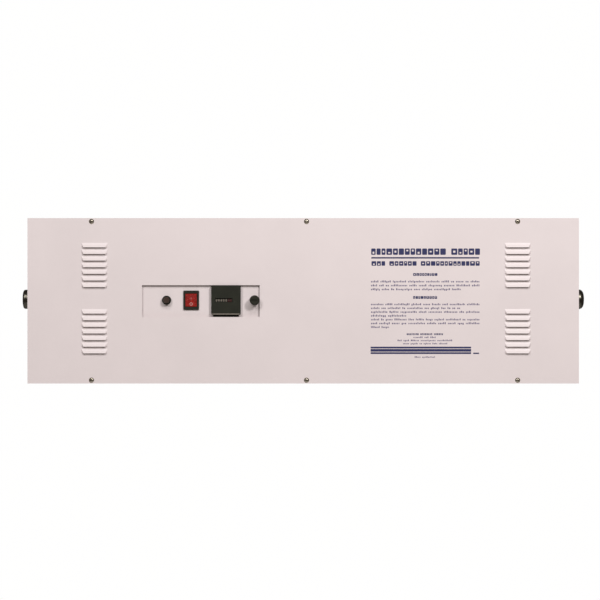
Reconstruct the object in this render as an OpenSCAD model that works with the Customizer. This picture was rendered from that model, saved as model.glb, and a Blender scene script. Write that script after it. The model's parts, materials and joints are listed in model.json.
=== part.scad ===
// Ultraviolet water steriliser in a wall-hung sheet-metal case.
// Water runs from end to end through a quartz tube, between two germicidal lamps.
// Frame: origin at the centre of the wall face, +X towards the outlet, +Z up, and the front faces -Y.

/* [Case] */
// Width over the front cover
cover_w = 900; // [890:2:930]
// Height over the front cover
cover_h = 270; // [266:2:290]
// Depth from the wall to the cover's front face
case_d = 150; // [148:1:170]
// Sheet thickness of the front cover
cover_t = 1.5; // [1.2:0.1:2]
// Sheet thickness of the case, end plates and brackets
sheet_t = 1.2; // [1:0.1:1.5]
// Depth of the cover's folded skirt
skirt_d = 14; // [10:1:20]

/* [Louvres] */
// Louvres in each of the four groups
louvre_count = 7; // [3:1:8]
// Spacing between louvres
louvre_pitch = 10.8; // [10.2:0.1:12]
// Length of one louvre
louvre_len = 42.4; // [20:0.2:60]
// How far a louvre's hood stands out
louvre_out = 3.8; // [3:0.1:4.4]

/* [Controls] */
// Width of the control window in the cover
window_w = 192; // [192:1:196]
// Height of the control window in the cover
window_h = 52; // [52:1:60]
// How far the control plate lies behind the cover's front face
recess = 4.5; // [4.5:0.1:6]
// Tilt of the rocker each side of level
rocker_tilt = 11; // [6:0.5:11]

/* [Water path] */
// Outside diameter of the quartz tube
quartz_od = 28; // [24:0.5:28]
// Wall of the quartz tube
quartz_wall = 2; // [1.5:0.25:2.5]
// Bore for the customer's pipe, 22 mm nominal
pipe_bore = 22.2; // [22:0.1:22.4]
// Outside diameter of the round union nuts
union_od = 32.4; // [31:0.2:33]
// Distance from the axis of the lamps to the quartz tube's axis
lamp_offset = 36; // [34:0.5:38]

/* [Hidden] */
$fn = 64;
eps = 0.01;
case_half = cover_w/2 - cover_t - 0.5;          // outer faces of the end plates
case_top = cover_h/2 - cover_t - 0.5;           // outer faces of the top and bottom walls
end_in = case_half - sheet_t;                   // inner faces of the end plates
wall_in = case_top - sheet_t;                   // inner faces of the top and bottom walls
cover_y = -case_d;                              // front face of the cover
flange_y = cover_y + cover_t;                   // front face of the case's flanges
flange_h = 16;
plate_y = cover_y + recess;                     // front face of the control plate
pipe_y = -52;
pipe_z = 2.5;

screw_x = [-345.5, 5.5, 350];                   // cover screws, left to right
screw_z = cover_h/2 - 5.5;
screw_clear = 2.3;
louvre_x = [-340.5, 350];                       // centres of the louvre groups
louvre_z = 54;                                  // group centres above and below the middle

window_x = -167;
window_z = -0.5;
control_z = 1;
breaker_x = -223;
switch_x = -183;
counter_x = -126;
fuse_x = -79.3;

bridge_x0 = -284;                               // ends of the control bridge
bridge_x1 = -54;
bridge_z = 72;                                  // outer faces of the bridge's legs
bridge_t = 1.5;
wall_hole_x = 400;
wall_hole_z = 100;
wall_hole_r = 3.5;

lamp_r = 8;
lamp_cap_len = 12;
lamp_half = end_in - 28;                        // the face of a lamp's end cap
pin_gap = 4.75;
bracket_x = end_in - 16;                        // inner faces of the lamp brackets
reflector_half = bracket_x - 0.1;

drum_r = 8;
drum_w = 3.6;
drum_pitch = 3.95;
drum_row_x = counter_x - 3.6;                   // middle of the row of seven drums
drum_in = 3;                                    // the drums' axle, behind the plate's face
axle_r = 1;
DRUMS = ["drum_10000h", "drum_1000h", "drum_100h", "drum_10h", "drum_1h", "drum_tenth", "drum_hundredth"];

// ---------- helpers ----------

// Lays the local Z axis along +X.
module along_x() rotate([0, 90, 0]) children();

// Local x to the right, y up and z towards the viewer, with z = 0 on the control plate's face.
module on_plate(x, z = control_z) translate([x, plate_y, z]) rotate([90, 0, 0]) children();

module at_pipe() translate([0, pipe_y, pipe_z]) children();

// One end's solid, mirrored for the inlet on the left.
module at_end(side) at_pipe() mirror([side < 0 ? 1 : 0, 0, 0]) children();

module both_ends() for (side = [-1, 1]) at_end(side) children();

// A rod about the X axis from x0 to x1.
module rod_x(x0, x1, r) translate([x0, 0, 0]) along_x() cylinder(h = x1 - x0, r = r);

// A ring about the X axis from x0 to x1.
module ring_x(x0, x1, r_out, r_in) difference() {
    rod_x(x0, x1, r_out);
    rod_x(x0 - 1, x1 + 1, r_in);
}

// A hexagonal nut about the X axis, two of its flats level.
module hex_x(x0, x1, flats, r_in) translate([x0, 0, 0]) along_x() difference() {
    cylinder(h = x1 - x0, r = flats/2/cos(30), $fn = 6);
    translate([0, 0, -1]) cylinder(h = x1 - x0 + 2, r = r_in);
}

module box(x0, x1, y0, y1, z0, z1) translate([x0, y0, z0]) cube([x1 - x0, y1 - y0, z1 - z0]);

// A plate in the local xy plane with rounded corners, made of two bars and four discs.
module round_plate(w, h, t, r) {
    translate([-w/2 + r, -h/2, 0]) cube([w - 2*r, h, t]);
    translate([-w/2, -h/2 + r, 0]) cube([w, h - 2*r, t]);
    for (x = [-1, 1], y = [-1, 1]) translate([x*(w/2 - r), y*(h/2 - r), 0]) cylinder(h = t, r = r);
}

// A pan-head screw pointing along +Y from the face at y = 0, with a cross recess.
module pan_screw(r_head, h_head, r_shank, len) rotate([90, 0, 0]) {
    difference() {
        rotate_extrude() intersection() {
            translate([0, h_head - (r_head*r_head + h_head*h_head)/(2*h_head)])
                circle(r = (r_head*r_head + h_head*h_head)/(2*h_head), $fn = 128);
            square([r_head - 0.2, h_head]);
        }
        for (a = [0, 90]) rotate([0, 0, a + 20])
            translate([-r_head*0.5, -r_head*0.11, h_head*0.45]) cube([r_head, r_head*0.22, h_head]);
    }
    translate([0, 0, -len]) cylinder(h = len, r = r_shank);
}

// ---------- case ----------

module case_body() color("whitesmoke") difference() {
    union() {
        box(-end_in, end_in, -sheet_t, 0, -case_top, case_top);
        for (m = [0, 1]) mirror([0, 0, m]) {
            box(-end_in, end_in, flange_y, 0, wall_in, case_top);
            box(-end_in, end_in, flange_y, flange_y + sheet_t, case_top - flange_h, case_top);
        }
    }
    for (x = [-wall_hole_x, wall_hole_x], z = [-wall_hole_z, wall_hole_z])
        translate([x, 1, z]) rotate([90, 0, 0]) cylinder(h = 3, r = wall_hole_r);
    for (x = screw_x, z = [-screw_z, screw_z])
        translate([x, flange_y + 2, z]) rotate([90, 0, 0]) cylinder(h = 3, r = screw_clear);
    at_rivets() translate([0, 0, -1]) cylinder(h = 3, r = rivet_hole_r);
}

rivet_x = end_in - 7;
rivet_y = [-110, -40];
rivet_r = 1.6;
rivet_hole_r = 1.65;
tab = 14;                                       // width of the end plates' flanges

// Rivet places on the outside of the top and bottom walls, local z pointing out.
module at_rivets() for (side = [-1, 1], m = [0, 1], y = rivet_y)
    mirror([0, 0, m]) translate([side*rivet_x, y, case_top - sheet_t]) children();

// A cheek with three flanges that tuck inside the case body.
module end_plate(side) difference() {
    mirror([side < 0 ? 1 : 0, 0, 0]) union() {
        box(end_in, case_half, flange_y, 0, -case_top, case_top);
        box(end_in - tab, end_in, -2*sheet_t, -sheet_t, -wall_in, wall_in);
        for (m = [0, 1]) mirror([0, 0, m])
            box(end_in - tab, end_in, flange_y + 6, -2*sheet_t, wall_in - sheet_t, wall_in);
    }
    at_end(side) translate([end_in - 1, 0, 0]) along_x() cylinder(h = 4, r = thread_r + 0.3);
    at_rivets() translate([0, 0, -2]) cylinder(h = 3, r = rivet_hole_r);
}

module left_end_plate() color("whitesmoke") difference() {
    end_plate(-1);
    at_gland() translate([0, 0, -1]) cylinder(h = 4, r = gland_hole_r);
}

module right_end_plate() color("whitesmoke") end_plate(1);

// Blind rivets through the top and bottom walls into the end plates' flanges.
module end_plate_rivets() color("gainsboro") at_rivets() {
    translate([0, 0, -3.5]) cylinder(h = 3.5 + sheet_t + 0.5, r = rivet_r);
    translate([0, 0, sheet_t]) rotate_extrude() intersection() {
        translate([0, -4.3]) circle(r = 5.4, $fn = 96);
        square([3.2, 2]);
    }
}

gland_y = -38;
gland_z = -95;
gland_hole_r = 10.2;
cable_r = 4.5;

// M20 cable gland, low at the back of the left end plate, its mouth pointing left.
module at_gland() translate([-case_half, gland_y, gland_z]) along_x() children();

module cable_gland_body() color("dimgray") at_gland() difference() {
    union() {
        translate([0, 0, -6]) cylinder(h = 6, r = 12/cos(30), $fn = 6);
        translate([0, 0, -14]) cylinder(h = 8.5, r = 9.5);
        cylinder(h = 9, r = 10);
    }
    translate([0, 0, -15]) cylinder(h = 30, r = 6);
    translate([0, 0, -15]) cylinder(h = 9, r = 7.5);
}

module cable_gland_seal() color("black") at_gland() difference() {
    translate([0, 0, -14]) cylinder(h = 7.8, r = 7.4);
    translate([0, 0, -15]) cylinder(h = 10, r = cable_r);
}

module cable_gland_cap() color("dimgray") at_gland() difference() {
    union() {
        translate([0, 0, -16]) cylinder(h = 9.5, r = 12/cos(30), $fn = 6);
        translate([0, 0, -19]) cylinder(h = 3.1, r1 = 8, r2 = 11.5);
    }
    translate([0, 0, -14.2]) cylinder(h = 9, r = 9.6);
    translate([0, 0, -20]) cylinder(h = 10, r = 6);
}

module cable_gland_locknut() color("dimgray") at_gland() difference() {
    translate([0, 0, sheet_t]) cylinder(h = 5, r = 12/cos(30), $fn = 6);
    translate([0, 0, -1]) cylinder(h = 10, r = 10.03);
}

earth_x = -270;
earth_z = -98;

module at_earth() translate([earth_x, -sheet_t, earth_z]) rotate([90, 0, 0]) children();

module earth_stud() color("goldenrod") at_earth() {
    cylinder(h = 2, r = 5);
    translate([0, 0, 2]) cylinder(h = 16, r = 2);
}

module earth_nuts() color("goldenrod") at_earth() for (z = [5.2, 10.6]) translate([0, 0, z]) difference() {
    cylinder(h = 3.2, r = 3.5/cos(30), $fn = 6);
    translate([0, 0, -1]) cylinder(h = 6, r = 2.03);
}

// ---------- front cover ----------

slot_h = 0.4;                                   // how far the sheet is cut away below a louvre's lip
lip_z = 0.8;                                    // the lip, above the centre of the louvre's place
hood_gap = 3.4;                                 // flat sheet between a lip and the hood below it
hood_h = louvre_pitch - hood_gap;               // height of a hood above its lip
hood_t = 1.4;                                   // metal in the hood, measured straight out
hood_root = 0.5;                                // how deep the hood's root is sunk in the sheet
end_t = 1.8;                                    // metal in the hood's ends, measured along the louvre
lip_rise = 1.6;                                 // the lower edge rises this far at each end,
lip_run = 3;                                    // over this length
HOOD = [[1, 0], [0.37, 0.54], [0.13, 0.8], [0, 1]];  // its face from lip to top, as parts of out and height

// Section of a hood: x stands out from the cover and y is up from the lip.
module hood_section() polygon(concat([[-hood_root, 0]],
    [for (p = HOOD) [p[0]*louvre_out, p[1]*hood_h]], [[-hood_root, hood_h]]));

// Section of the space under a hood, open below the lip and through the sheet behind it.
module slot_section() {
    inner = louvre_out - hood_t;
    slope = (1 - HOOD[1][0])*louvre_out/(HOOD[1][1]*hood_h);
    back = -cover_t - 1;
    polygon([[back, -slot_h], [inner, -slot_h], [inner, 0], [0, inner/slope], [back, inner/slope]]);
}

// A section run along a louvre, its ends sloping to the sheet and its lower edge rising at each end.
module louvre_form(half, low) {
    top = half - louvre_out;
    intersection() {
        translate([-half, 0, 0]) rotate([90, 0, 90]) mirror([1, 0, 0]) linear_extrude(2*half) children();
        translate([0, 0, -slot_h - 1]) linear_extrude(slot_h + hood_h + 2)
            polygon([[-half, 5], [-half, 0], [-top, -louvre_out], [top, -louvre_out], [half, 0], [half, 5]]);
        rotate([90, 0, 0]) translate([0, 0, -5]) linear_extrude(10)
            polygon([[-half, low + lip_rise], [lip_run - half, low], [half - lip_run, low],
                     [half, low + lip_rise], [half, hood_h], [-half, hood_h]]);
    }
}

// Louvre places, at the lip's height on the cover's front face.
module at_louvres() for (x = louvre_x, group = [-1, 1], i = [0 : louvre_count - 1])
    translate([x, cover_y, group*louvre_z + lip_z + (i - (louvre_count - 1)/2)*louvre_pitch])
        children();

module front_cover() color("whitesmoke") difference() {
    union() {
        difference() {
            box(-cover_w/2, cover_w/2, cover_y, cover_y + skirt_d, -cover_h/2, cover_h/2);
            box(-cover_w/2 + cover_t, cover_w/2 - cover_t, cover_y + cover_t, 0,
                -cover_h/2 + cover_t, cover_h/2 - cover_t);
        }
        at_louvres() louvre_form(louvre_len/2, 0) hood_section();
    }
    at_louvres() louvre_form(louvre_len/2 - end_t, -slot_h) slot_section();
    box(window_x - window_w/2, window_x + window_w/2, cover_y - 1, cover_y + cover_t + 1,
        window_z - window_h/2, window_z + window_h/2);
    for (x = screw_x, z = [-screw_z, screw_z])
        translate([x, cover_y + 3, z]) rotate([90, 0, 0]) cylinder(h = 5, r = 2.2);
}

module cover_screws() color("silver") for (x = screw_x, z = [-screw_z, screw_z])
    translate([x, cover_y, z]) pan_screw(4.4, 2.5, 1.95, 10);

// Tapped strips held behind the case's flanges.
module cover_nut_plates() color("silver") for (x = screw_x, m = [0, 1]) mirror([0, 0, m])
    difference() {
        box(x - 10, x + 10, flange_y + sheet_t, flange_y + sheet_t + 3, wall_in - 10, wall_in - 0.1);
        translate([x, flange_y + 6, screw_z]) rotate([90, 0, 0]) cylinder(h = 8, r = screw_clear);
    }

// ---------- water path ----------

thread_r = 13.2;                                // three-quarter inch male thread
gland_r = 18;                                   // gland thread inside the case
body_end = case_half + 20;
socket_in = case_half + 5;
quartz_half = end_in - 11.5;

// A bulkhead fitting: pipe socket outside, hexagon against the end plate, quartz gland inside.
module end_fitting() difference() {
    union() {
        hex_x(end_in - 6, end_in, 36, 5);
        ring_x(end_in - eps, body_end, thread_r, 5);
        ring_x(end_in - 32, end_in - 6 + eps, gland_r, 5);
    }
    rod_x(end_in - 33, end_in - 11, quartz_od/2 + 0.15);
    rod_x(end_in - 12, body_end + 1, 9.5);
    rod_x(socket_in, body_end + 1, pipe_bore/2);
}

module inlet_fitting() color("lightsteelblue") at_end(-1) end_fitting();
module outlet_fitting() color("lightsteelblue") at_end(1) end_fitting();

// A round union nut that ends at x1, its outer shoulder rounded by the radius rim.
module union_nut(x1, od, rim) {
    x0 = case_half + 8.5;
    difference() {
        translate([x0, 0, 0]) along_x() rotate_extrude() {
            square([od/2, x1 - x0 - rim]);
            square([od/2 - rim, x1 - x0]);
            intersection() {
                translate([od/2 - rim, x1 - x0 - rim]) circle(r = rim, $fn = 128);
                translate([od/2 - rim - eps, x1 - x0 - rim - eps]) square(rim + 1);
            }
        }
        rod_x(x0 - 1, body_end + 3, thread_r + 0.05);
        rod_x(x0 - 1, x1 + 1, pipe_bore/2);
    }
}

// The inlet's nut is square-shouldered and the outlet's is domed.
module inlet_union_nut() color("silver") at_end(-1) union_nut(body_end + 4.7, union_od, 3);
module outlet_union_nut() color("silver") at_end(1) union_nut(body_end + 6, union_od + 1, 7.5);

module pipe_olives() color("goldenrod") both_ends()
    ring_x(body_end + 0.2, body_end + 2.8, thread_r - 0.2, pipe_bore/2);

module fitting_locknuts() color("silver") both_ends()
    hex_x(case_half + 1.5, case_half + 7.5, 36, thread_r + 0.03);

module fitting_washers() color("black") both_ends()
    ring_x(case_half, case_half + 1.5, 19.5, thread_r + 0.05);

module quartz_tube() color("aliceblue", 0.4) at_pipe()
    ring_x(-quartz_half, quartz_half, quartz_od/2, quartz_od/2 - quartz_wall);

module quartz_orings() color("black") both_ends()
    translate([end_in - 34, 0, 0]) along_x() rotate_extrude()
        translate([quartz_od/2 + 1.85, 0]) circle(r = 1.7, $fn = 32);

module quartz_gland_nuts() color("silver") both_ends() difference() {
    ring_x(end_in - 41, end_in - 16, 22.5, quartz_od/2 + 0.4);
    rod_x(end_in - 36, end_in - 15, gland_r + 0.05);
    for (a = [0 : 20 : 340]) rotate([a, 0, 0]) translate([end_in - 42, 0, 22.9])
        along_x() cylinder(h = 27, r = 0.9, $fn = 16);
}

// ---------- ultraviolet chamber ----------

chamber_y = 44;                                 // half depth of the oval tunnel
chamber_z = 58;                                 // half height
trough_t = 0.8;
trough_rim = 7.5;                               // flanges where the two halves meet
trough_screw_x = [-360, -20, 180, 360];

// Half of an oval tunnel of sheet with two flanges; facing 1 is the wall side and -1 the front.
module trough(facing) along_x() translate([0, 0, -reflector_half]) linear_extrude(2*reflector_half)
    polygon(concat(
        [[chamber_z + trough_rim, 0]],
        [for (a = [-90 : 6 : 90]) [-chamber_z*sin(a), facing*chamber_y*cos(a)]],
        [[-chamber_z - trough_rim, 0], [-chamber_z - trough_rim, facing*trough_t],
         [-chamber_z - trough_t, facing*trough_t]],
        [for (a = [84 : -6 : -84]) [-(chamber_z + trough_t)*sin(a), facing*(chamber_y + trough_t)*cos(a)]],
        [[chamber_z + trough_t, facing*trough_t], [chamber_z + trough_rim, facing*trough_t]]));

module at_trough_screws() at_pipe() for (x = trough_screw_x, side = [-1, 1])
    translate([x, 0, side*(chamber_z + 4.6)]) children();

module half_tunnel(facing) color("gainsboro") difference() {
    at_pipe() trough(facing);
    at_trough_screws() rotate([90, 0, 0]) cylinder(h = 4, r = 1.55, center = true);
}

module rear_reflector() half_tunnel(1);
module front_reflector() half_tunnel(-1);

// A plate across the case that carries the lampholders, with a foot on the back panel.
module lamp_bracket(side) color("gainsboro") mirror([side < 0 ? 1 : 0, 0, 0]) difference() {
    union() {
        box(bracket_x, bracket_x + bridge_t, pipe_y - 47, -sheet_t, pipe_z - 68, pipe_z + 68);
        for (m = [0, 1]) translate([0, 0, pipe_z]) mirror([0, 0, m])
            box(bracket_x - 20, bracket_x + bridge_t, -sheet_t - bridge_t, -sheet_t, 34, 68);
    }
    translate([bracket_x - 1, pipe_y, pipe_z]) along_x() cylinder(h = 4, r = 24);
    for (z = bracket_hole_z) translate([bracket_x - 10, 0, z]) rotate([90, 0, 0]) cylinder(h = 8, r = 2.1);
}

bracket_hole_z = [pipe_z - 52, pipe_z + 52];

module left_lamp_bracket() lamp_bracket(-1);
module right_lamp_bracket() lamp_bracket(1);

// Rotary lampholders, one at each end of each lamp.
module lamp_holders() color("ivory") both_ends() for (z = [-lamp_offset, lamp_offset])
    translate([0, 0, z]) difference() {
        union() {
            box(bracket_x - 11, bracket_x, -9, 9, -11, 11);
            translate([lamp_half + 0.3, 0, 0]) along_x() cylinder(h = 6, r = 7.5);
        }
        for (y = [-1, 1]) translate([lamp_half - 1, y*pin_gap/2, 0]) along_x() cylinder(h = 10, r = 1.35);
    }

module lamp_tubes() color("lavender", 0.5) at_pipe() for (z = [-lamp_offset, lamp_offset]) translate([0, 0, z])
    ring_x(-lamp_half + 2, lamp_half - 2, lamp_r - 0.5, lamp_r - 1.4);

module lamp_end_caps() color("silver") both_ends() for (z = [-lamp_offset, lamp_offset])
    translate([0, 0, z]) {
        difference() {
            rod_x(lamp_half - lamp_cap_len, lamp_half, lamp_r);
            rod_x(lamp_half - lamp_cap_len - 1, lamp_half - 1.5, lamp_r - 0.45);
        }
        for (y = [-1, 1]) translate([lamp_half - 0.5, y*pin_gap/2, 0])
            along_x() cylinder(h = 7, r = 1.2);
    }

// ---------- electrical gear ----------

ballast_x = [95, 285];
ballast_z = 97;

// Wound chokes: a laminated core between two end feet.
module ballasts() color("dimgray") for (x = ballast_x) translate([x, -sheet_t, ballast_z]) {
    box(-62, 62, -29, 0, -20, 20);
    difference() {
        box(-77, 77, -1.5, 0, -14, 14);
        box(-63, 63, -3, 1, -15, 15);
        for (s = [-1, 1]) translate([s*71, 1, 0]) rotate([90, 0, 0]) cylinder(h = 4, r = 2.3);
    }
    for (s = [-1, 1]) box(s*62.5 - 0.5, s*62.5 + 0.5, -24, 0, -14, 14);
}

starter_x = [-60, -115];
starter_z = 100;

module starter_sockets() color("ivory") for (x = starter_x) translate([x, -sheet_t, starter_z])
    rotate([90, 0, 0]) difference() {
        union() {
            round_plate(40, 26, 4, 3);
            cylinder(h = 12, r = 12.6);
        }
        translate([0, 0, 4.5]) cylinder(h = 10, r = 11);
    }

module starters() color("white") for (x = starter_x) translate([x, -sheet_t, starter_z])
    rotate([90, 0, 0]) translate([0, 0, 4.5]) difference() {
        cylinder(h = 40, r = 10.75);
        translate([0, 0, 38.8]) difference() {
            cylinder(h = 5, r = 12);
            translate([0, 0, -1]) cylinder(h = 7, r1 = 10.9, r2 = 8.2);
        }
    }

cap_x = -215;
cap_z = 104;

module capacitor() color("lightgray") translate([cap_x - 38, -20.5, cap_z]) along_x() {
    cylinder(h = 70, r = 15);
    translate([0, 0, 70]) cylinder(h = 3, r = 12);
    for (y = [-5, 5]) translate([-0.4, y - 3, 72.5]) cube([0.8, 6, 9]);
}

module capacitor_clip() color("silver") translate([cap_x - 12, -20.5, cap_z]) {
    ring_x(-6, 6, 16.3, 15.1);
    box(-6, 6, 16.2, 20.5 - sheet_t, -19.5, 19.5);
}

block_x = -330;
block_z = -88;

// Six-way terminal block on the back panel.
module terminal_block() color("ivory") translate([block_x, -sheet_t, block_z]) difference() {
    union() {
        box(-36, 36, -10, 0, -11, 11);
        for (i = [0 : 5]) box(-36 + 12*i + 1, -24 + 12*i - 1, -18, -9.9, -8, 8);
    }
    for (i = [0 : 5]) translate([-30 + 12*i, -6, 0]) rotate([90, 0, 0]) cylinder(h = 20, r = 2.4);
    for (i = [0 : 5]) translate([-30 + 12*i, -13.5, -12]) cylinder(h = 24, r = 1.9);
}

module terminal_screws() color("goldenrod") for (i = [0 : 5])
    translate([block_x - 30 + 12*i, -sheet_t - 15.6, block_z]) rotate([90, 0, 0]) difference() {
        cylinder(h = 2, r = 2.2);
        translate([-3, -0.35, 1.2]) cube([6, 0.7, 2]);
    }

// A run along points: a curve through every one of them.
function unit(v) = v/norm(v);
function tangent(p, i) = unit(p[min(i + 1, len(p) - 1)] - p[max(i - 1, 0)]);
function across(t) = unit(abs(t.y) < 0.8 ? cross(t, [0, 1, 0]) : cross(t, [1, 0, 0]));
function smooth(p, n) = [for (i = [0 : n*(len(p) - 1)])
    let (k = min(floor(i/n), len(p) - 2), u = i/n - k,
         a = p[max(k - 1, 0)], b = p[k], c = p[k + 1], d = p[min(k + 2, len(p) - 1)])
    0.5*(2*b + (c - a)*u + (2*a - 5*b + 4*c - d)*u*u + (3*b - a - 3*c + d)*u*u*u)];

lead_r = 1.2;
lead_steps = 4;
lead_sides = 8;

// An insulated lead of round section.
module lead(route) {
    p = smooth(route, lead_steps);
    n = len(p);
    m = lead_sides;
    polyhedron(
        points = [for (i = [0 : n - 1]) let (t = tangent(p, i), s = across(t), u = cross(t, s))
            for (k = [0 : m - 1]) p[i] + lead_r*(s*cos(360*k/m) + u*sin(360*k/m))],
        faces = concat(
            [[for (k = [m - 1 : -1 : 0]) k]],
            [for (i = [0 : n - 2], k = [0 : m - 1]) let (j = (k + 1)%m)
                each [[i*m + k, i*m + j, (i + 1)*m + j], [i*m + k, (i + 1)*m + j, (i + 1)*m + k]]],
            [[for (k = [0 : m - 1]) (n - 1)*m + k]]));
}

leg_out = -(bridge_z + 4);                      // a run just below the control bridge
lamp_lead_x = bracket_x + bridge_t + 1.3;       // behind the lampholders

// Live: terminals to reset breaker, switch and ballasts, and on to the upper lamp.
BROWN = [
    [[-354, -15, -76], [-354, -22, -68], [-348, -60, leg_out], [-318, -110, leg_out], [-292, -128, -60],
     [-290, -120, -20], [-270, -108, -8], [-240, -106, -7], [-223, -107, -8]],
    [[-223, -107, 10], [-214, -104, 16], [-200, -106, 14], [-188.5, -113, 10]],
    [[-177.5, -113, 10], [-168, -104, 24], [-158, -101, 50], [-152, -99, 71], [-140, -92, 78], [-60, -60, 82],
     [0, -30, 86], [14, -16, 92], [18, -14, 97], [31, -14, 97]],
    [[349, -14, 97], [375, -20, 94], [418, -34, 86], [438, -42, 76], [440, -50, 54],
     [lamp_lead_x, pipe_y, pipe_z + lamp_offset]]
];
// Neutral: terminals to switch, along the bottom to the lower lamp, and from the starters to the upper one.
BLUE = [
    [[-342, -15, -76], [-342, -22, -70], [-334, -60, -84], [-300, -120, -80], [-288, -136, -56],
     [-287.5, -130, -30], [-240, -104, -34], [-205, -104, -24], [-188.5, -113, -8]],
    [[-318, -15, -76], [-316, -20, -70], [-290, -22, -90], [-200, -22, -94], [0, -24, -94], [300, -24, -94],
     [400, -26, -92], [438, -40, -72], [440, -50, -52], [lamp_lead_x, pipe_y, pipe_z - lamp_offset]],
    [[-136.5, -5, 100], [-160, -9, 124], [-300, -12, 124], [-400, -22, 108], [-438, -38, 78], [-440, -50, 54],
     [-lamp_lead_x, pipe_y, pipe_z + lamp_offset]]
];
EARTH = [[[-306, -15, -76], [-304, -20, -71], [-292, -18, -80], [-278, -10, -90], [-274.5, -8.4, -94]]];

module leads(routes) for (route = routes) lead(route);
module brown_leads() color("saddlebrown") leads(BROWN);
module blue_leads() color("royalblue") leads(BLUE);
module earth_lead() color("yellowgreen") leads(EARTH);

// ---------- control panel ----------

bridge_foot = 12;
bridge_hole_x = [bridge_x0 + 24, bridge_x1 - 12];
bridge_hole_z = bridge_z + bridge_foot/2 + 0.5;

// A folded bridge over the chamber: the recessed control plate, two legs and their feet.
module control_bridge() color("whitesmoke") difference() {
    union() {
        box(bridge_x0, bridge_x1, plate_y, plate_y + bridge_t, -bridge_z, bridge_z);
        for (m = [0, 1]) mirror([0, 0, m]) {
            box(bridge_x0, bridge_x1, plate_y, -sheet_t, bridge_z - bridge_t, bridge_z);
            box(bridge_x0, bridge_x1, -sheet_t - bridge_t, -sheet_t, bridge_z - eps, bridge_z + bridge_foot);
        }
    }
    on_plate(breaker_x) translate([0, 0, -5]) cylinder(h = 8, r = breaker_neck + 0.1);
    on_plate(fuse_x) translate([0, 0, -5]) cylinder(h = 8, r = fuse_neck + 0.1);
    on_plate(switch_x) translate([-switch_body_w/2 - 0.1, -switch_body_h/2 - 0.1, -5])
        cube([switch_body_w + 0.2, switch_body_h + 0.2, 8]);
    on_plate(counter_x) translate([-counter_body/2 - 0.1, -counter_body/2 - 0.1, -5])
        cube([counter_body + 0.2, counter_body + 0.2, 8]);
    for (x = bridge_hole_x, z = [-1, 1]) translate([x, 0, z*bridge_hole_z])
        rotate([90, 0, 0]) cylinder(h = 8, r = 2.1);
    translate([-152, -99, bridge_z - 4]) cylinder(h = 8, r = 5);
}

// Pan-head screws that hold the brackets, ballasts, bridge and tunnel halves.
module inside_screws() color("silver") {
    for (side = [-1, 1], z = bracket_hole_z)
        translate([side*(bracket_x - 10), -sheet_t - bridge_t, z]) pan_screw(3.6, 2.2, 1.95, 1.4);
    for (x = ballast_x, s = [-1, 1])
        translate([x + s*71, -sheet_t - 1.5, ballast_z]) pan_screw(3.6, 2.2, 1.95, 1.4);
    for (x = bridge_hole_x, z = [-1, 1])
        translate([x, -sheet_t - bridge_t, z*bridge_hole_z]) pan_screw(3.6, 2.2, 1.95, 1.4);
    at_trough_screws() translate([0, -trough_t, 0]) pan_screw(2.8, 1.8, 1.45, 5);
}

breaker_out = 5.5;
breaker_collar = 7.35;
breaker_neck = 6;
button_out = 10.5;
button_r = 5.1;

// Push-to-reset thermal breaker: round collar in front, block behind.
module breaker_body() color("black") on_plate(breaker_x) difference() {
    union() {
        cylinder(h = breaker_out, r = breaker_collar);
        translate([0, 0, -8]) cylinder(h = 8.1, r = breaker_neck);
        translate([-7.5, -14, -28]) cube([15, 28, 20.1]);
        for (y = [-9, 9]) translate([-0.4, y - 3.15, -36]) cube([0.8, 6.3, 8.1]);
    }
    translate([0, 0, -10]) cylinder(h = 30, r = button_r + 0.35);
}

module breaker_button() color("maroon") on_plate(breaker_x) {
    translate([0, 0, -6]) cylinder(h = 6 + button_out - 1, r = button_r);
    translate([0, 0, button_out - 1]) cylinder(h = 1, r1 = button_r, r2 = button_r - 0.7);
}

switch_w = 25.4;
switch_h = 31.5;
switch_body_w = 22;
switch_body_h = 28;
rocker_w = 18.4;
rocker_r = 11.5;
pivot_in = 3;                                   // the rocker's pivot, behind the plate's face

module switch_housing() color("black") on_plate(switch_x) difference() {
    union() {
        round_plate(switch_w, switch_h, 2, 1.2);
        translate([-switch_body_w/2, -switch_body_h/2, -22]) cube([switch_body_w, switch_body_h, 22.1]);
    }
    translate([-rocker_w/2 - 0.3, -10.75, -pivot_in + 2]) cube([rocker_w + 0.6, 21.5, 8]);
    translate([-rocker_w/2 - 0.3, 0, -pivot_in]) along_x() cylinder(h = rocker_w + 0.6, r = rocker_r + 0.35);
}

// The rocker lies with its lower half pressed in, which is off.
module switch_rocker() color("firebrick") on_plate(switch_x)
    translate([-rocker_w/2, 0, -pivot_in]) rotate([rocker_tilt, 0, 0]) rotate([90, 0, 90])
        linear_extrude(rocker_w) intersection() {
            circle(r = rocker_r, $fn = 128);
            polygon([[-12, 7.4], [0, 6], [12, 7.4], [12, -7], [-12, -7]]);
        }

module switch_terminals() color("silver") on_plate(switch_x) for (x = [-5.5, 5.5], y = [-9, 9])
    translate([x - 0.4, y - 3.15, -30.5]) cube([0.8, 6.3, 8.5]);

counter_size = 47.8;
counter_foot_w = 41.8;                          // a lip under the bezel
counter_foot_h = 2.8;
counter_foot_out = 3;
counter_body = 44;
counter_out = 8;
counter_wall = 1.5;
drum_window_w = 28.6;
drum_window_h = 6.4;

module at_drum_window() on_plate(drum_row_x) children();

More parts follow.
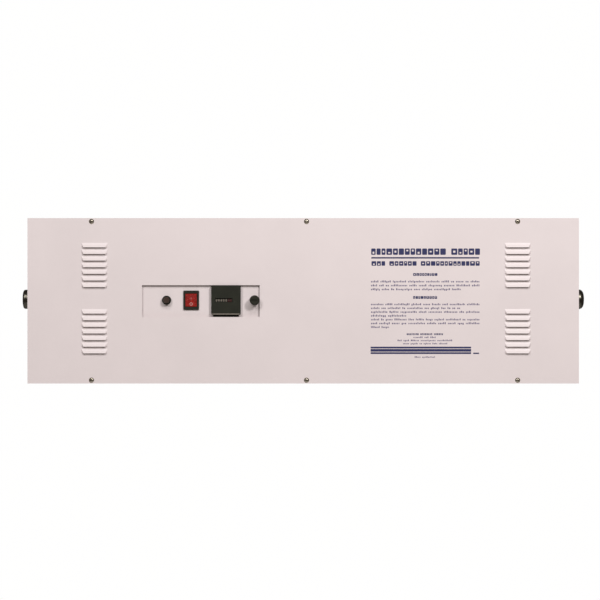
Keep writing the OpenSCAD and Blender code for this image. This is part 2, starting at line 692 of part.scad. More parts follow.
// Square hour counter: a proud bezel and a hollow case with a slot over the drums.
module counter_case() color("black") difference() {
    on_plate(counter_x) difference() {
        union() {
            round_plate(counter_size, counter_size, counter_out - 1, 2);
            translate([-counter_foot_w/2, -counter_size/2 - counter_foot_h, 0])
                cube([counter_foot_w, counter_foot_h + 1, counter_foot_out]);
            translate([0, 0, counter_out - 1 - eps])
                round_plate(counter_size - 1.4, counter_size - 1.4, 1 + eps, 1.6);
            translate([-counter_body/2, -counter_body/2, -36]) cube([counter_body, counter_body, 36.1]);
        }
        translate([-counter_body/2 + counter_wall, -counter_body/2 + counter_wall, -36 + counter_wall])
            cube([counter_body - 2*counter_wall, counter_body - 2*counter_wall, 40]);
    }
    at_drum_window() translate([-drum_window_w/2, -drum_window_h/2, 0])
        cube([drum_window_w, drum_window_h, 20]);
}

// Clear pane in the slot.
module counter_window() color("aliceblue", 0.4) at_drum_window()
    translate([-drum_window_w/2, -drum_window_h/2, counter_out - 2]) cube([drum_window_w, drum_window_h, 1]);

// Bracket inside the counter that carries the drums' axle.
module counter_axle() color("silver") at_drum_window() translate([0, 0, -drum_in]) {
    translate([-16.6, 0, 0]) along_x() cylinder(h = 33.2, r = axle_r);
    for (s = [-1, 1]) translate([s*15.4 - 0.6, -6, -31.5 + drum_in]) cube([1.2, 12, 36 - drum_in]);
}

module drum(i) color("black")
    translate([drum_row_x + (i - 3)*drum_pitch - drum_w/2, plate_y + drum_in, control_z]) ring_x(0, drum_w, drum_r, axle_r + 0.05);

module drum_10000h() drum(0);
module drum_1000h() drum(1);
module drum_100h() drum(2);
module drum_10h() drum(3);
module drum_1h() drum(4);
module drum_tenth() drum(5);
module drum_hundredth() drum(6);

fuse_flange = 2;
fuse_neck = 6.3;
fuse_cap_r = 7.9;
fuse_cap_out = 16.5;
fuse_r = 2.6;                                   // a 5 by 20 mm fuse
fuse_back = -29;

module fuse_body() color("black") on_plate(fuse_x) difference() {
    union() {
        cylinder(h = fuse_flange, r = 8);
        translate([0, 0, -34]) cylinder(h = 34.1, r = fuse_neck);
    }
    translate([0, 0, -9]) cylinder(h = 20, r = 5);
    translate([0, 0, -30]) cylinder(h = 23, r = fuse_r + 0.5);
}

// Carrier cap with grip flutes and a coin slot; its stem holds the fuse.
module fuse_cap() color("black") on_plate(fuse_x) difference() {
    union() {
        translate([0, 0, fuse_flange + 0.3]) cylinder(h = fuse_cap_out - fuse_flange - 1.3, r = fuse_cap_r);
        translate([0, 0, fuse_cap_out - 1]) cylinder(h = 1, r1 = fuse_cap_r, r2 = fuse_cap_r - 0.8);
        translate([0, 0, -8]) cylinder(h = 12, r = 4.6);
    }
    for (a = [0 : 20 : 340]) rotate([0, 0, a]) translate([fuse_cap_r + 0.35, 0, fuse_flange + 2])
        cylinder(h = 20, r = 0.85, $fn = 16);
    translate([-5, -0.9, fuse_cap_out - 1.6]) cube([10, 1.8, 3]);
    translate([0, 0, -9]) cylinder(h = 6, r = fuse_r + 0.01);
}

module fuse_link() color("silver") on_plate(fuse_x) translate([0, 0, fuse_back]) {
    cylinder(h = 26, r = fuse_r - 0.15);
    for (z = [0, 20]) translate([0, 0, z]) cylinder(h = 6, r = fuse_r);
}

// ---------- nodes ----------

case_body();
left_end_plate();
right_end_plate();
end_plate_rivets();
front_cover();
cover_screws();
cover_nut_plates();
cable_gland_body();
cable_gland_seal();
cable_gland_cap();
cable_gland_locknut();
earth_stud();
earth_nuts();
inlet_fitting();
outlet_fitting();
inlet_union_nut();
outlet_union_nut();
pipe_olives();
fitting_locknuts();
fitting_washers();
quartz_tube();
quartz_orings();
quartz_gland_nuts();
rear_reflector();
front_reflector();
left_lamp_bracket();
right_lamp_bracket();
lamp_holders();
lamp_tubes();
lamp_end_caps();
ballasts();
starters();
starter_sockets();
capacitor();
capacitor_clip();
terminal_block();
terminal_screws();
brown_leads();
blue_leads();
earth_lead();
control_bridge();
inside_screws();
breaker_body();
breaker_button();
switch_housing();
switch_rocker();
switch_terminals();
counter_case();
counter_window();
counter_axle();
drum_10000h();
drum_1000h();
drum_100h();
drum_10h();
drum_1h();
drum_tenth();
drum_hundredth();
fuse_body();
fuse_cap();
fuse_link();
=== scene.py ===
"""Wall-hung ultraviolet water clarifier: looks, print, marks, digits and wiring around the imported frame."""

import math
import random

import bmesh
import bpy
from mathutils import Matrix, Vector
from mathutils.bvhtree import BVHTree
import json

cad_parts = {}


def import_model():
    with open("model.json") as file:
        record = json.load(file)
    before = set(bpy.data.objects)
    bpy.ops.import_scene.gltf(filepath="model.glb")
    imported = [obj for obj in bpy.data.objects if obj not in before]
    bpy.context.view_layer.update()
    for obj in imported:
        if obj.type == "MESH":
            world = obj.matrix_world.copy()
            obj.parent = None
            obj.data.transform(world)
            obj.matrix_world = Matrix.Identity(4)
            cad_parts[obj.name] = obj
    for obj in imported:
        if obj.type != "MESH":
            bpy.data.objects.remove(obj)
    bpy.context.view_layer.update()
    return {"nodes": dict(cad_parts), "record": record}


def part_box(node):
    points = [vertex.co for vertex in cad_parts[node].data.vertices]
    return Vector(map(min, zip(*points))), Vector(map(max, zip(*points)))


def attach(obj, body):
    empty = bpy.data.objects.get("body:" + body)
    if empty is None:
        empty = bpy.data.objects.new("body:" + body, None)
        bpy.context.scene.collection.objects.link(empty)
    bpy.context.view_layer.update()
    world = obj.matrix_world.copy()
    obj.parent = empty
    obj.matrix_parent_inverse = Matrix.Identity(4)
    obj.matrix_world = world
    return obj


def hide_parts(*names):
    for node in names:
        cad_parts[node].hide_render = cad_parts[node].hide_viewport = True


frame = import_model()
NODES = frame["nodes"]
RECORD = frame["record"]
MM = 0.001
rng = random.Random(41)


# ---------------------------------------------------------------- node material helpers

class Shader:
    """A small builder for one procedural material."""

    def __init__(self, name):
        self.mat = bpy.data.materials.new(name)
        self.mat.use_nodes = True
        self.tree = self.mat.node_tree
        self.bsdf = self.tree.nodes["Principled BSDF"]
        self.place = self.tree.nodes.new("ShaderNodeTexCoord").outputs["Object"]

    def set(self, **values):
        for key, value in values.items():
            self.bsdf.inputs[key.replace("_", " ")].default_value = value
        return self

    def node(self, kind, **settings):
        n = self.tree.nodes.new(kind)
        for key, value in settings.items():
            setattr(n, key, value)
        return n

    def link(self, a, b):
        self.tree.links.new(a, b)

    def scaled(self, sx, sy, sz):
        n = self.node("ShaderNodeMapping")
        self.link(self.place, n.inputs["Vector"])
        n.inputs["Scale"].default_value = (sx, sy, sz)
        return n.outputs["Vector"]

    def noise(self, scale, detail=3.0, rough=0.5, vector=None):
        n = self.node("ShaderNodeTexNoise")
        n.inputs["Scale"].default_value = scale
        n.inputs["Detail"].default_value = detail
        n.inputs["Roughness"].default_value = rough
        self.link(vector or self.place, n.inputs["Vector"])
        return n.outputs["Fac"]

    def cells(self, scale, output="Distance", feature="F1"):
        n = self.node("ShaderNodeTexVoronoi", feature=feature)
        n.inputs["Scale"].default_value = scale
        self.link(self.place, n.inputs["Vector"])
        return n.outputs[output]

    def waves(self, scale, axis, distortion=0.0, kind="BANDS"):
        n = self.node("ShaderNodeTexWave", wave_type=kind)
        if kind == "BANDS":
            n.bands_direction = axis
        else:
            n.rings_direction = axis
        n.inputs["Scale"].default_value = scale
        n.inputs["Distortion"].default_value = distortion
        self.link(self.place, n.inputs["Vector"])
        return n.outputs["Fac"]

    def remap(self, value, low, high, start=0.0, end=1.0):
        n = self.node("ShaderNodeMapRange")
        n.inputs["From Min"].default_value = start
        n.inputs["From Max"].default_value = end
        n.inputs["To Min"].default_value = low
        n.inputs["To Max"].default_value = high
        self.link(value, n.inputs["Value"])
        return n.outputs["Result"]

    def ramp(self, value, stops):
        n = self.node("ShaderNodeValToRGB")
        ramp = n.color_ramp
        while len(ramp.elements) < len(stops):
            ramp.elements.new(0.5)
        for element, (at, colour) in zip(ramp.elements, stops):
            element.position = at
            element.color = (*colour, 1.0)
        self.link(value, n.inputs["Fac"])
        return n.outputs["Color"]

    def colour(self, value, dark, light, start=0.3, end=0.7):
        self.link(self.ramp(value, [(start, dark), (end, light)]), self.bsdf.inputs["Base Color"])
        return self

    def roughness(self, value, low, high):
        self.link(self.remap(value, low, high, 0.25, 0.75), self.bsdf.inputs["Roughness"])
        return self

    def bump(self, value, distance, strength=1.0, below=None):
        n = self.node("ShaderNodeBump")
        n.inputs["Strength"].default_value = strength
        n.inputs["Distance"].default_value = distance
        self.link(value, n.inputs["Height"])
        if below:
            self.link(below, n.inputs["Normal"])
        return n.outputs["Normal"]

    def normal(self, socket):
        self.link(socket, self.bsdf.inputs["Normal"])
        return self.mat


def shade(colour, k):
    return tuple(min(1.0, c * k) for c in colour)


def paint(name, colour, rough=0.42):
    """Powder coat: fine orange peel, faint cloudiness."""
    s = Shader(name)
    s.colour(s.noise(9.0, 4.0, 0.6), shade(colour, 0.972), shade(colour, 1.018))
    s.roughness(s.noise(420.0, 2.0), rough - 0.05, rough + 0.07)
    s.set(Coat_Weight=0.12, Coat_Roughness=0.28)
    peel = s.bump(s.noise(950.0, 1.5, 0.4), 0.00006, 0.35)
    return s.normal(s.bump(s.noise(170.0, 2.0), 0.00010, 0.18, peel))


def moulded(name, colour, rough=0.48, grain=2600.0, depth=0.00003, gloss=0.5):
    """Moulded plastic with a fine spark-eroded texture."""
    s = Shader(name)
    s.set(Specular_IOR_Level=gloss)
    s.colour(s.noise(60.0, 3.0), shade(colour, 0.85), shade(colour, 1.15))
    s.roughness(s.noise(800.0, 2.0), rough - 0.06, rough + 0.08)
    return s.normal(s.bump(s.noise(grain, 2.0, 0.6), depth, 0.6))


def gloss_plastic(name, colour, rough=0.22, **extra):
    s = Shader(name)
    s.colour(s.noise(45.0, 3.0), shade(colour, 0.9), shade(colour, 1.1))
    s.roughness(s.noise(300.0, 2.0), rough - 0.04, rough + 0.06)
    s.set(Coat_Weight=0.25, Coat_Roughness=0.12, **extra)
    return s.normal(s.bump(s.noise(220.0, 2.0), 0.00004, 0.25))


def zinc(name, colour, rough=0.34):
    """Zinc plate: faint spangle and rolling lines."""
    s = Shader(name)
    s.colour(s.cells(180.0, "Color"), shade(colour, 0.86), shade(colour, 1.08), 0.1, 0.9)
    s.roughness(s.noise(140.0, 4.0, 0.7), rough - 0.08, rough + 0.12)
    s.set(Metallic=1.0)
    grain = s.bump(s.noise(60.0, 3.0, 0.6, s.scaled(1.0, 30.0, 30.0)), 0.00003, 0.3)
    return s.normal(s.bump(s.noise(900.0, 2.0), 0.00002, 0.25, grain))


def turned(name, colour, rough=0.13, pitch=900.0):
    """Turned and polished metal with fine rings round the pipe's axis."""
    s = Shader(name)
    s.colour(s.noise(26.0, 4.0, 0.6), shade(colour, 0.88), shade(colour, 1.06))
    s.roughness(s.noise(90.0, 4.0, 0.7), rough - 0.04, rough + 0.08)
    s.set(Metallic=1.0)
    return s.normal(s.bump(s.waves(pitch, "X", 0.4), 0.000012, 0.4))


def plated(name, colour, rough=0.22):
    """Plated screw metal, a little worn."""
    s = Shader(name)
    s.colour(s.noise(700.0, 3.0, 0.6), shade(colour, 0.7), shade(colour, 1.15))
    s.roughness(s.noise(500.0, 3.0), rough - 0.05, rough + 0.14)
    s.set(Metallic=1.0)
    return s.normal(s.bump(s.noise(1800.0, 2.0), 0.00003, 0.35))


def bright_sheet(name, colour):
    """Bright rolled aluminium, brushed along its length."""
    s = Shader(name)
    s.colour(s.noise(30.0, 3.0), shade(colour, 0.93), shade(colour, 1.04))
    s.roughness(s.noise(70.0, 3.0, 0.6, s.scaled(0.25, 8.0, 8.0)), 0.26, 0.40)
    s.set(Metallic=1.0)
    return s.normal(s.bump(s.noise(90.0, 4.0, 0.7, s.scaled(0.06, 20.0, 20.0)), 0.00004, 0.35))


def glass(name, colour, alpha=0.22, rough=0.04, haze=0.05):
    """Thin clear glass: see-through, tinted a little, with a hard gloss."""
    s = Shader(name)
    s.colour(s.noise(14.0, 3.0), shade(colour, 0.9), colour)
    s.roughness(s.noise(60.0, 3.0), rough, rough + haze)
    s.set(Alpha=alpha, IOR=1.5, Specular_IOR_Level=0.9, Coat_Weight=0.6, Coat_Roughness=0.03)
    return s.normal(s.bump(s.noise(35.0, 2.0), 0.00002, 0.15))


def rubber(name, colour):
    s = Shader(name)
    s.colour(s.noise(120.0, 4.0, 0.7), shade(colour, 0.7), shade(colour, 1.5))
    s.roughness(s.noise(600.0, 2.0), 0.62, 0.82)
    return s.normal(s.bump(s.noise(1500.0, 3.0, 0.6), 0.00005, 0.5))


def insulation(name, colour, second=None):
    """Wire sleeve; a second colour makes stripes along it."""
    s = Shader(name)
    if second:
        s.colour(s.waves(110.0, "DIAGONAL", 0.0), colour, second, 0.48, 0.52)
    else:
        s.colour(s.noise(80.0, 3.0), shade(colour, 0.85), shade(colour, 1.12))
    s.roughness(s.noise(500.0, 2.0), 0.30, 0.42)
    return s.normal(s.bump(s.noise(700.0, 2.0), 0.00003, 0.3))


def ink(name, colour):
    """Screen print: dense, slightly uneven. The counter's lip line also uses it, as a painted highlight."""
    s = Shader(name)
    s.colour(s.noise(500.0, 3.0, 0.6), shade(colour, 0.82), shade(colour, 1.25))
    s.roughness(s.noise(900.0, 2.0), 0.42, 0.55)
    return s.normal(s.bump(s.noise(2200.0, 2.0), 0.00001, 0.3))


def red_lens(name, colour):
    """Translucent moulded red, lit a little by what is behind it."""
    s = Shader(name)
    s.colour(s.noise(160.0, 3.0), shade(colour, 0.75), shade(colour, 1.2))
    s.roughness(s.noise(400.0, 2.0), 0.20, 0.32)
    s.set(Transmission_Weight=0.18, IOR=1.49, Coat_Weight=0.4, Coat_Roughness=0.1,
          Subsurface_Weight=0.25, Subsurface_Radius=(0.004, 0.0008, 0.0006), Subsurface_Scale=0.5)
    return s.normal(s.bump(s.noise(900.0, 2.0), 0.00003, 0.3))


WHITE = (0.735, 0.655, 0.648)
MATERIALS = {
    "white_paint": lambda n: paint(n, WHITE),
    "zinc_steel": lambda n: zinc(n, (0.62, 0.62, 0.60)),
    "screw_steel": lambda n: plated(n, (0.40, 0.36, 0.29)),
    "stainless": lambda n: turned(n, (0.50, 0.49, 0.48)),
    "dark_nickel": lambda n: turned(n, (0.095, 0.088, 0.072), 0.27, 1100.0),
    "brass": lambda n: turned(n, (0.70, 0.50, 0.22), 0.24, 700.0),
    "reflector_aluminium": lambda n: bright_sheet(n, (0.80, 0.81, 0.82)),
    "quartz_glass": lambda n: glass(n, (0.80, 0.86, 0.88), 0.30),
    "lamp_glass": lambda n: glass(n, (0.74, 0.82, 0.90), 0.38, 0.08),
    "pane": lambda n: glass(n, (0.03, 0.03, 0.028), 0.05, 0.05),
    "seal_rubber": lambda n: rubber(n, (0.018, 0.018, 0.018)),
    "black_plastic": lambda n: moulded(n, (0.0155, 0.0160, 0.0098), 0.55, gloss=0.22),
    "gland_plastic": lambda n: moulded(n, (0.10, 0.10, 0.105), 0.5),
    "drum_black": lambda n: moulded(n, (0.012, 0.012, 0.012), 0.5),
    "drum_red": lambda n: moulded(n, (0.030, 0.008, 0.007), 0.5),
    "button_red": lambda n: gloss_plastic(n, (0.040, 0.022, 0.015), 0.36),
    "rocker_red": lambda n: red_lens(n, (0.36, 0.017, 0.012)),
    "ivory_plastic": lambda n: moulded(n, (0.66, 0.62, 0.50), 0.4),
    "starter_can": lambda n: gloss_plastic(n, (0.72, 0.72, 0.69), 0.3),
    "ballast_enamel": lambda n: paint(n, (0.055, 0.060, 0.066), 0.38),
    "capacitor_can": lambda n: bright_sheet(n, (0.66, 0.66, 0.65)),
    "brown_wire": lambda n: insulation(n, (0.13, 0.045, 0.018)),
    "blue_wire": lambda n: insulation(n, (0.02, 0.09, 0.40)),
    "earth_wire": lambda n: insulation(n, (0.08, 0.32, 0.03), (0.68, 0.62, 0.02)),
}


def finish_nodes():
    """Every CAD node takes the procedural material of its slot."""
    made = {slot: build("mat_" + slot) for slot, build in MATERIALS.items()}
    for entry in RECORD["subparts"]:
        o = NODES[entry["node"]]
        if not o.material_slots:
            o.data.materials.append(made[entry["material_slot"]])
        for s in o.material_slots:
            s.material = made[entry["material_slot"]]
    return made


MADE = finish_nodes()


def soften(names, width, segments=2, angle=38.0):
    """A small edge radius that catches the light."""
    for name in names:
        m = NODES[name].modifiers.new("edge", "BEVEL")
        m.width = width
        m.segments = segments
        m.limit_method = "ANGLE"
        m.angle_limit = math.radians(angle)
        m.use_clamp_overlap = True
        m.harden_normals = False


soften(["front_cover"], 0.0004)
soften(["counter_case", "switch_housing", "breaker_body", "fuse_body"], 0.0003)
soften(["inlet_union_nut", "outlet_union_nut", "fitting_locknuts"], 0.0003)


# ---------------------------------------------------------------- making pieces

def new_piece(name, bm, material, body, smooth=False):
    """A mesh piece from a bmesh, riding on a body."""
    bmesh.ops.recalc_face_normals(bm, faces=bm.faces)
    me = bpy.data.meshes.new(name)
    bm.to_mesh(me)
    bm.free()
    for p in me.polygons:
        p.use_smooth = smooth
    me.materials.append(material)
    o = bpy.data.objects.new(name, me)
    bpy.context.scene.collection.objects.link(o)
    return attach(o, body)


def add_prism(bm, outline, place, depth):
    """A closed prism on a 2D outline; place turns (u, v, height) into a point."""
    low = [bm.verts.new(place(u, v, 0.0)) for u, v in outline]
    top = [bm.verts.new(place(u, v, depth)) for u, v in outline]
    bm.faces.new(low[::-1])
    bm.faces.new(top)
    n = len(outline)
    for i in range(n):
        j = (i + 1) % n
        bm.faces.new([low[i], low[j], top[j], top[i]])


def rounded(u0, v0, u1, v1, r, steps=4):
    """Outline of a rectangle with rounded corners."""
    r = min(r, (u1 - u0) / 2 - 1e-6, (v1 - v0) / 2 - 1e-6)
    out = []
    corners = ((u1 - r, v1 - r, 0), (u0 + r, v1 - r, 90), (u0 + r, v0 + r, 180), (u1 - r, v0 + r, 270))
    for cu, cv, a0 in corners:
        for k in range(steps + 1):
            a = math.radians(a0 + 90.0 * k / steps)
            out.append((cu + r * math.cos(a), cv + r * math.sin(a)))
    return out


# ---------------------------------------------------------------- the print on the cover

COVER_FACE = -0.150


def on_cover(u, v, h):
    """Millimetres right and up from the cover's middle, on its front face."""
    return Vector((u * MM, COVER_FACE - h, v * MM))


# Thickness of the printed layers, and of the painted highlight on the counter's lip.
FLAT_LAYER_DEPTH = 0.00003


def add_frame(bm, outer, inner, place, depth):
    """A closed flat ring between two outlines with the same number of points."""
    loops = [[bm.verts.new(place(u, v, h)) for u, v in line]
             for line, h in ((outer, 0.0), (outer, depth), (inner, depth), (inner, 0.0))]
    n = len(outer)
    for k, loop in enumerate(loops):
        after = loops[(k + 1) % 4]
        for i in range(n):
            j = (i + 1) % n
            bm.faces.new([loop[i], loop[j], after[j], after[i]])


def block(bm, u0, v0, u1, v1, pierced):
    """One printed block, perhaps pierced, that stands for a letter and is none."""
    w, h = u1 - u0, v1 - v0
    outer = rounded(u0, v0, u1, v1, 0.12 * h, 2)
    if not pierced:
        add_prism(bm, outer, on_cover, FLAT_LAYER_DEPTH)
        return
    cu, cv = u0 + 0.5 * w, v0 + rng.choice((0.33, 0.5, 0.67)) * h
    du, dv = 0.19 * w, rng.uniform(0.10, 0.17) * h
    add_frame(bm, outer, rounded(cu - du, cv - dv, cu + du, cv + dv, 0.05 * h, 2), on_cover, FLAT_LAYER_DEPTH)


def greek_word(bm, u, v, width, letters, height, caps, gap_part):
    """A word of plain blocks of uneven width and height: it spells nothing."""
    gap = width / letters * gap_part
    weights = [rng.uniform(0.75, 1.25) for _ in range(letters)]
    unit = (width - gap * (letters - 1)) / sum(weights)
    for w in weights:
        w *= unit
        kind = rng.random()
        low, high = 0.0, 1.0 if caps else (0.70 if kind < 0.62 else 1.0)
        if not caps and kind > 0.93:
            low, high = -0.28, 0.70
        block(bm, u, v + low * height, u + w, v + high * height, caps and kind < 0.7)
        u += w + gap


def greek_line(bm, left, right, base, height, words, caps=False, gap_part=0.15, space=0.95):
    """Words spread evenly between left and right."""
    unit = (right - left) / (sum(words) + space * (len(words) - 1))
    u = left
    for letters in words:
        greek_word(bm, u, base, letters * unit, letters, height, caps, gap_part)
        u += (letters + space) * unit


def random_words(total):
    """Word lengths that add up to about total letters."""
    out = []
    while sum(out) < total - 2:
        out.append(rng.choice((2, 3, 4, 5, 6, 7, 9, 11)))
    return out


# The print's layout, in millimetres right of and above the cover's middle.
LEFT_EDGE, RIGHT_EDGE = 110.8, 287.5
TEXT_H, SMALL_H = 3.2, 2.6
TEXT_PITCH, SMALL_PITCH = 2.9, 2.6
LINE_PITCH = 6.2
# Each heading: left, right, base, height and the letters in each word.
HEADINGS = (
    (111.0, 288.5, 75.0, 10.4, (13, 5)),
    (111.5, 288.0, 57.2, 7.4, (3, 6, 13)),
    (179.5, 219.0, 40.7, 4.4, (9,)),
    (179.5, 218.5, 3.2, 4.4, (9,)),
)
RULE = (111.0, 68.9, 287.0, 71.3)
NAME_LINE = (169.0, 228.0, -56.0, 3.0, (8, 8, 6))
# Base and right edge of each line in the first paragraph, and the right edges and first base of the second.
FIRST_PARAGRAPH = ((30.0, RIGHT_EDGE), (23.6, RIGHT_EDGE), (17.3, 257.0))
SECOND_PARAGRAPH = (RIGHT_EDGE, 256.0, RIGHT_EDGE, 168.0, RIGHT_EDGE, RIGHT_EDGE, 140.0)
SECOND_BASE = -7.2
# Base, left and right of each centred small line.
SMALL_LINES = ((-60.8, 180.0, 216.0), (-65.9, 154.0, 243.0), (-71.0, 163.0, 235.0), (-93.0, 182.0, 215.0))
# Low and high edges of the three stripes, their ends, and the short bar beside them.
STRIPES = ((-86.8, -84.0), (-83.0, -78.7), (-77.7, -74.9))
STRIPE_LEFT, STRIPE_RIGHT = 110.0, 274.0
SHORT_BAR = (277.5, -86.8, 287.0, -84.6)
NAVY_INK, SMALL_INK = (0.016, 0.019, 0.085), (0.115, 0.095, 0.175)


def body_line(bm, left, right, base, height, pitch):
    """One line of small greeked text."""
    greek_line(bm, left, right, base, height, random_words((right - left) / pitch), False, 0.38, 1.5)


def print_headings():
    bm = bmesh.new()
    for heading in HEADINGS:
        greek_line(bm, *heading, caps=True)
    greek_line(bm, *NAME_LINE, True, 0.3, 1.2)
    add_prism(bm, rounded(*RULE, 0.3, 2), on_cover, FLAT_LAYER_DEPTH)
    return bm


def print_paragraphs():
    bm = bmesh.new()
    for base, right in FIRST_PARAGRAPH:
        body_line(bm, LEFT_EDGE, right, base, TEXT_H, TEXT_PITCH)
    for i, right in enumerate(SECOND_PARAGRAPH):
        body_line(bm, LEFT_EDGE, right, SECOND_BASE - LINE_PITCH * i, TEXT_H, TEXT_PITCH)
    for base, left, right in SMALL_LINES:
        body_line(bm, left, right, base, SMALL_H, SMALL_PITCH)
    return bm


def print_band():
    bm = bmesh.new()
    for low, high in STRIPES:
        add_prism(bm, rounded(STRIPE_LEFT, low, STRIPE_RIGHT, high, 0.5), on_cover, FLAT_LAYER_DEPTH)
    add_prism(bm, rounded(*SHORT_BAR, 0.5), on_cover, FLAT_LAYER_DEPTH)
    return bm


def print_block():
    navy, small = ink("mat_print_navy", NAVY_INK), ink("mat_print_small", SMALL_INK)
    new_piece("cover_print_headings", print_headings(), navy, "cover")
    new_piece("cover_print_paragraphs", print_paragraphs(), small, "cover")
    new_piece("cover_print_band", print_band(), navy, "cover")


print_block()


# ---------------------------------------------------------------- wiring inside the case

LEAD_RADIUS = 0.0012
LEG_OUT = -76.0
LAMP_LEAD_X = 433.6
LAMP_TOP, LAMP_BOTTOM = (-52.0, 38.5), (-52.0, -33.5)

# Each lead's route in millimetres, through the same points as its CAD solid.
BROWN_ROUTES = (
    ((-354, -15, -76), (-354, -22, -68), (-348, -60, LEG_OUT), (-318, -110, LEG_OUT), (-292, -128, -60),
     (-290, -120, -20), (-270, -108, -8), (-240, -106, -7), (-223, -107, -8)),
    ((-223, -107, 10), (-214, -104, 16), (-200, -106, 14), (-188.5, -113, 10)),
    ((-177.5, -113, 10), (-168, -104, 24), (-158, -101, 50), (-152, -99, 71), (-140, -92, 78), (-60, -60, 82),
     (0, -30, 86), (14, -16, 92), (18, -14, 97), (31, -14, 97)),
    ((349, -14, 97), (375, -20, 94), (418, -34, 86), (438, -42, 76), (440, -50, 54),
     (LAMP_LEAD_X, *LAMP_TOP)),
)
BLUE_ROUTES = (
    ((-342, -15, -76), (-342, -22, -70), (-334, -60, -84), (-300, -120, -80), (-288, -136, -56),
     (-287.5, -130, -30), (-240, -104, -34), (-205, -104, -24), (-188.5, -113, -8)),
    ((-318, -15, -76), (-316, -20, -70), (-290, -22, -90), (-200, -22, -94), (0, -24, -94), (300, -24, -94),
     (400, -26, -92), (438, -40, -72), (440, -50, -52), (LAMP_LEAD_X, *LAMP_BOTTOM)),
    ((-136.5, -5, 100), (-160, -9, 124), (-300, -12, 124), (-400, -22, 108), (-438, -38, 78), (-440, -50, 54),
     (-LAMP_LEAD_X, *LAMP_TOP)),
)
EARTH_ROUTES = (
    ((-306, -15, -76), (-304, -20, -71), (-292, -18, -80), (-278, -10, -90), (-274.5, -8.4, -94)),
)
LEADS = (
    ("brown_leads", BROWN_ROUTES, "brown_wire"),
    ("blue_leads", BLUE_ROUTES, "blue_wire"),
    ("earth_lead", EARTH_ROUTES, "earth_wire"),
)


def through(points, steps=12):
    """A smooth curve through every point."""
    p = [Vector(q) * MM for q in points]
    out = []
    for i in range(steps * (len(p) - 1) + 1):
        k = min(i // steps, len(p) - 2)
        u = i / steps - k
        a, b, c, d = p[max(k - 1, 0)], p[k], p[k + 1], p[min(k + 2, len(p) - 1)]
        out.append(0.5 * (2 * b + (c - a) * u + (2 * a - 5 * b + 4 * c - d) * u ** 2
                          + (3 * b - a - 3 * c + d) * u ** 3))
    return out


def add_tube(bm, path, radius, sides=14):
    """A closed round tube along a path, carried along it without twist."""
    last = len(path) - 1
    ahead = [(path[min(i + 1, last)] - path[max(i - 1, 0)]).normalized() for i in range(last + 1)]
    side = ahead[0].orthogonal()
    turns = [math.tau * k / sides for k in range(sides)]
    rings = []
    for point, t in zip(path, ahead):
        side = (side - t * side.dot(t)).normalized()
        up = t.cross(side)
        rings.append([bm.verts.new(point + radius * (side * math.cos(a) + up * math.sin(a))) for a in turns])
    for low, top in zip(rings, rings[1:]):
        for k in range(sides):
            j = (k + 1) % sides
            bm.faces.new([low[k], low[j], top[j], top[k]])
    bm.faces.new(rings[0][::-1])
    bm.faces.new(rings[-1])


def wiring():
    """Round leads in place of the CAD's eight-sided ones."""
    for node, routes, slot in LEADS:
        bm = bmesh.new()
        for route in routes:
            add_tube(bm, through(route), LEAD_RADIUS)
        piece = new_piece("smooth_" + node, bm, MADE[slot], "case", smooth=True)
        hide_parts(node)


wiring()


# ---------------------------------------------------------------- switch marks and counter digits

IN_FRONT = -0.4                     # a place in front of the whole object
MARK_LIFT = 0.00002                 # marks and digits start this far off their surface
MARK_DEPTH = 0.00006
BAR_W, BAR_H, BAR_UP = 0.6, 3.0, 2.8
RING_OUTER, RING_INNER, RING_UP = 2.45, 1.75, -6.2
RING_STEPS = 40
MARK_INK = (0.62, 0.36, 0.33)


def surface_of(node):
    """A lookup of a CAD node's surface along +Y from in front."""
    me = NODES[node].data
    tree = BVHTree.FromPolygons([v.co.copy() for v in me.vertices], [tuple(p.vertices) for p in me.polygons])

    def hit(x, z):
        point, normal, _, _ = tree.ray_cast(Vector((x, IN_FRONT, z)), Vector((0, 1, 0)))
        return point, normal

    return hit


def circle(radius, steps):
    """Outline of a circle."""
    return [(radius * math.cos(math.tau * k / steps), radius * math.sin(math.tau * k / steps))
            for k in range(steps)]


def rocker_marks():
    """The bar and ring for on and off, laid on the rocker's two slopes."""
    lo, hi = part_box("switch_rocker")
    hit = surface_of("switch_rocker")
    cx, cz = (lo.x + hi.x) / 2, (lo.z + hi.z) / 2

    def laid(dz):
        point, normal = hit(cx, cz + dz)
        across = Vector((1, 0, 0))
        up = normal.cross(across)
        up = up if up.z > 0 else -up
        return lambda u, v, h: point + across * u * MM + up * v * MM + normal * (h + MARK_LIFT)

    bm = bmesh.new()
    bar = rounded(-BAR_W / 2, -BAR_H / 2, BAR_W / 2, BAR_H / 2, 0.12, 2)
    add_prism(bm, bar, laid(BAR_UP * MM), MARK_DEPTH)
    outer, inner = circle(RING_OUTER, RING_STEPS), circle(RING_INNER, RING_STEPS)
    add_frame(bm, outer, inner, laid(RING_UP * MM), MARK_DEPTH)
    new_piece("rocker_marks", bm, ink("mat_switch_mark", MARK_INK), "rocker")


rocker_marks()

